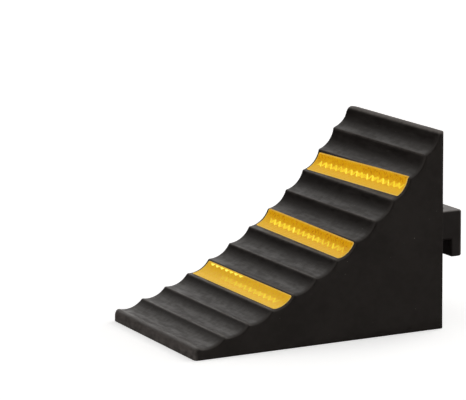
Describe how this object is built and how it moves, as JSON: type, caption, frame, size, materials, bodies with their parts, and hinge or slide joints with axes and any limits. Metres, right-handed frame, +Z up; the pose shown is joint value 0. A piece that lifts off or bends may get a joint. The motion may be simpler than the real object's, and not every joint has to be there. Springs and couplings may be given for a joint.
{
  "type": "wheel chock",
  "caption": "Solid rubber wheel chock with a scalloped concave ramp, yellow reflective strips and a bolted U handle on its back.",
  "frame": {"origin": "centre of the wedge's flat base, on the ground", "axes": "+X from the toe to the back and the handle, +Y across the chock, +Z up"},
  "size_m": [0.337, 0.2, 0.2126],
  "materials": {
    "wedge_rubber": "matt moulded black rubber",
    "handle_rubber": "matt moulded black rubber",
    "reflective_film": "yellow prismatic reflective film",
    "tape_adhesive": "cream pressure-sensitive adhesive",
    "black_steel": "black powder coat",
    "zinc_steel": "bright zinc plate"
  },
  "bodies": {
    "root": {"rubber_wedge": "wedge_rubber", "lower_strip_adhesive": "tape_adhesive", "lower_strip_film": "reflective_film", "middle_strip_adhesive": "tape_adhesive", "middle_strip_film": "reflective_film", "upper_strip_adhesive": "tape_adhesive", "upper_strip_film": "reflective_film", "handle_grip": "handle_rubber", "handle_core": "black_steel", "handle_bolts": "zinc_steel", "handle_washers": "zinc_steel", "threaded_inserts": "zinc_steel"}
  },
  "joints": []
}
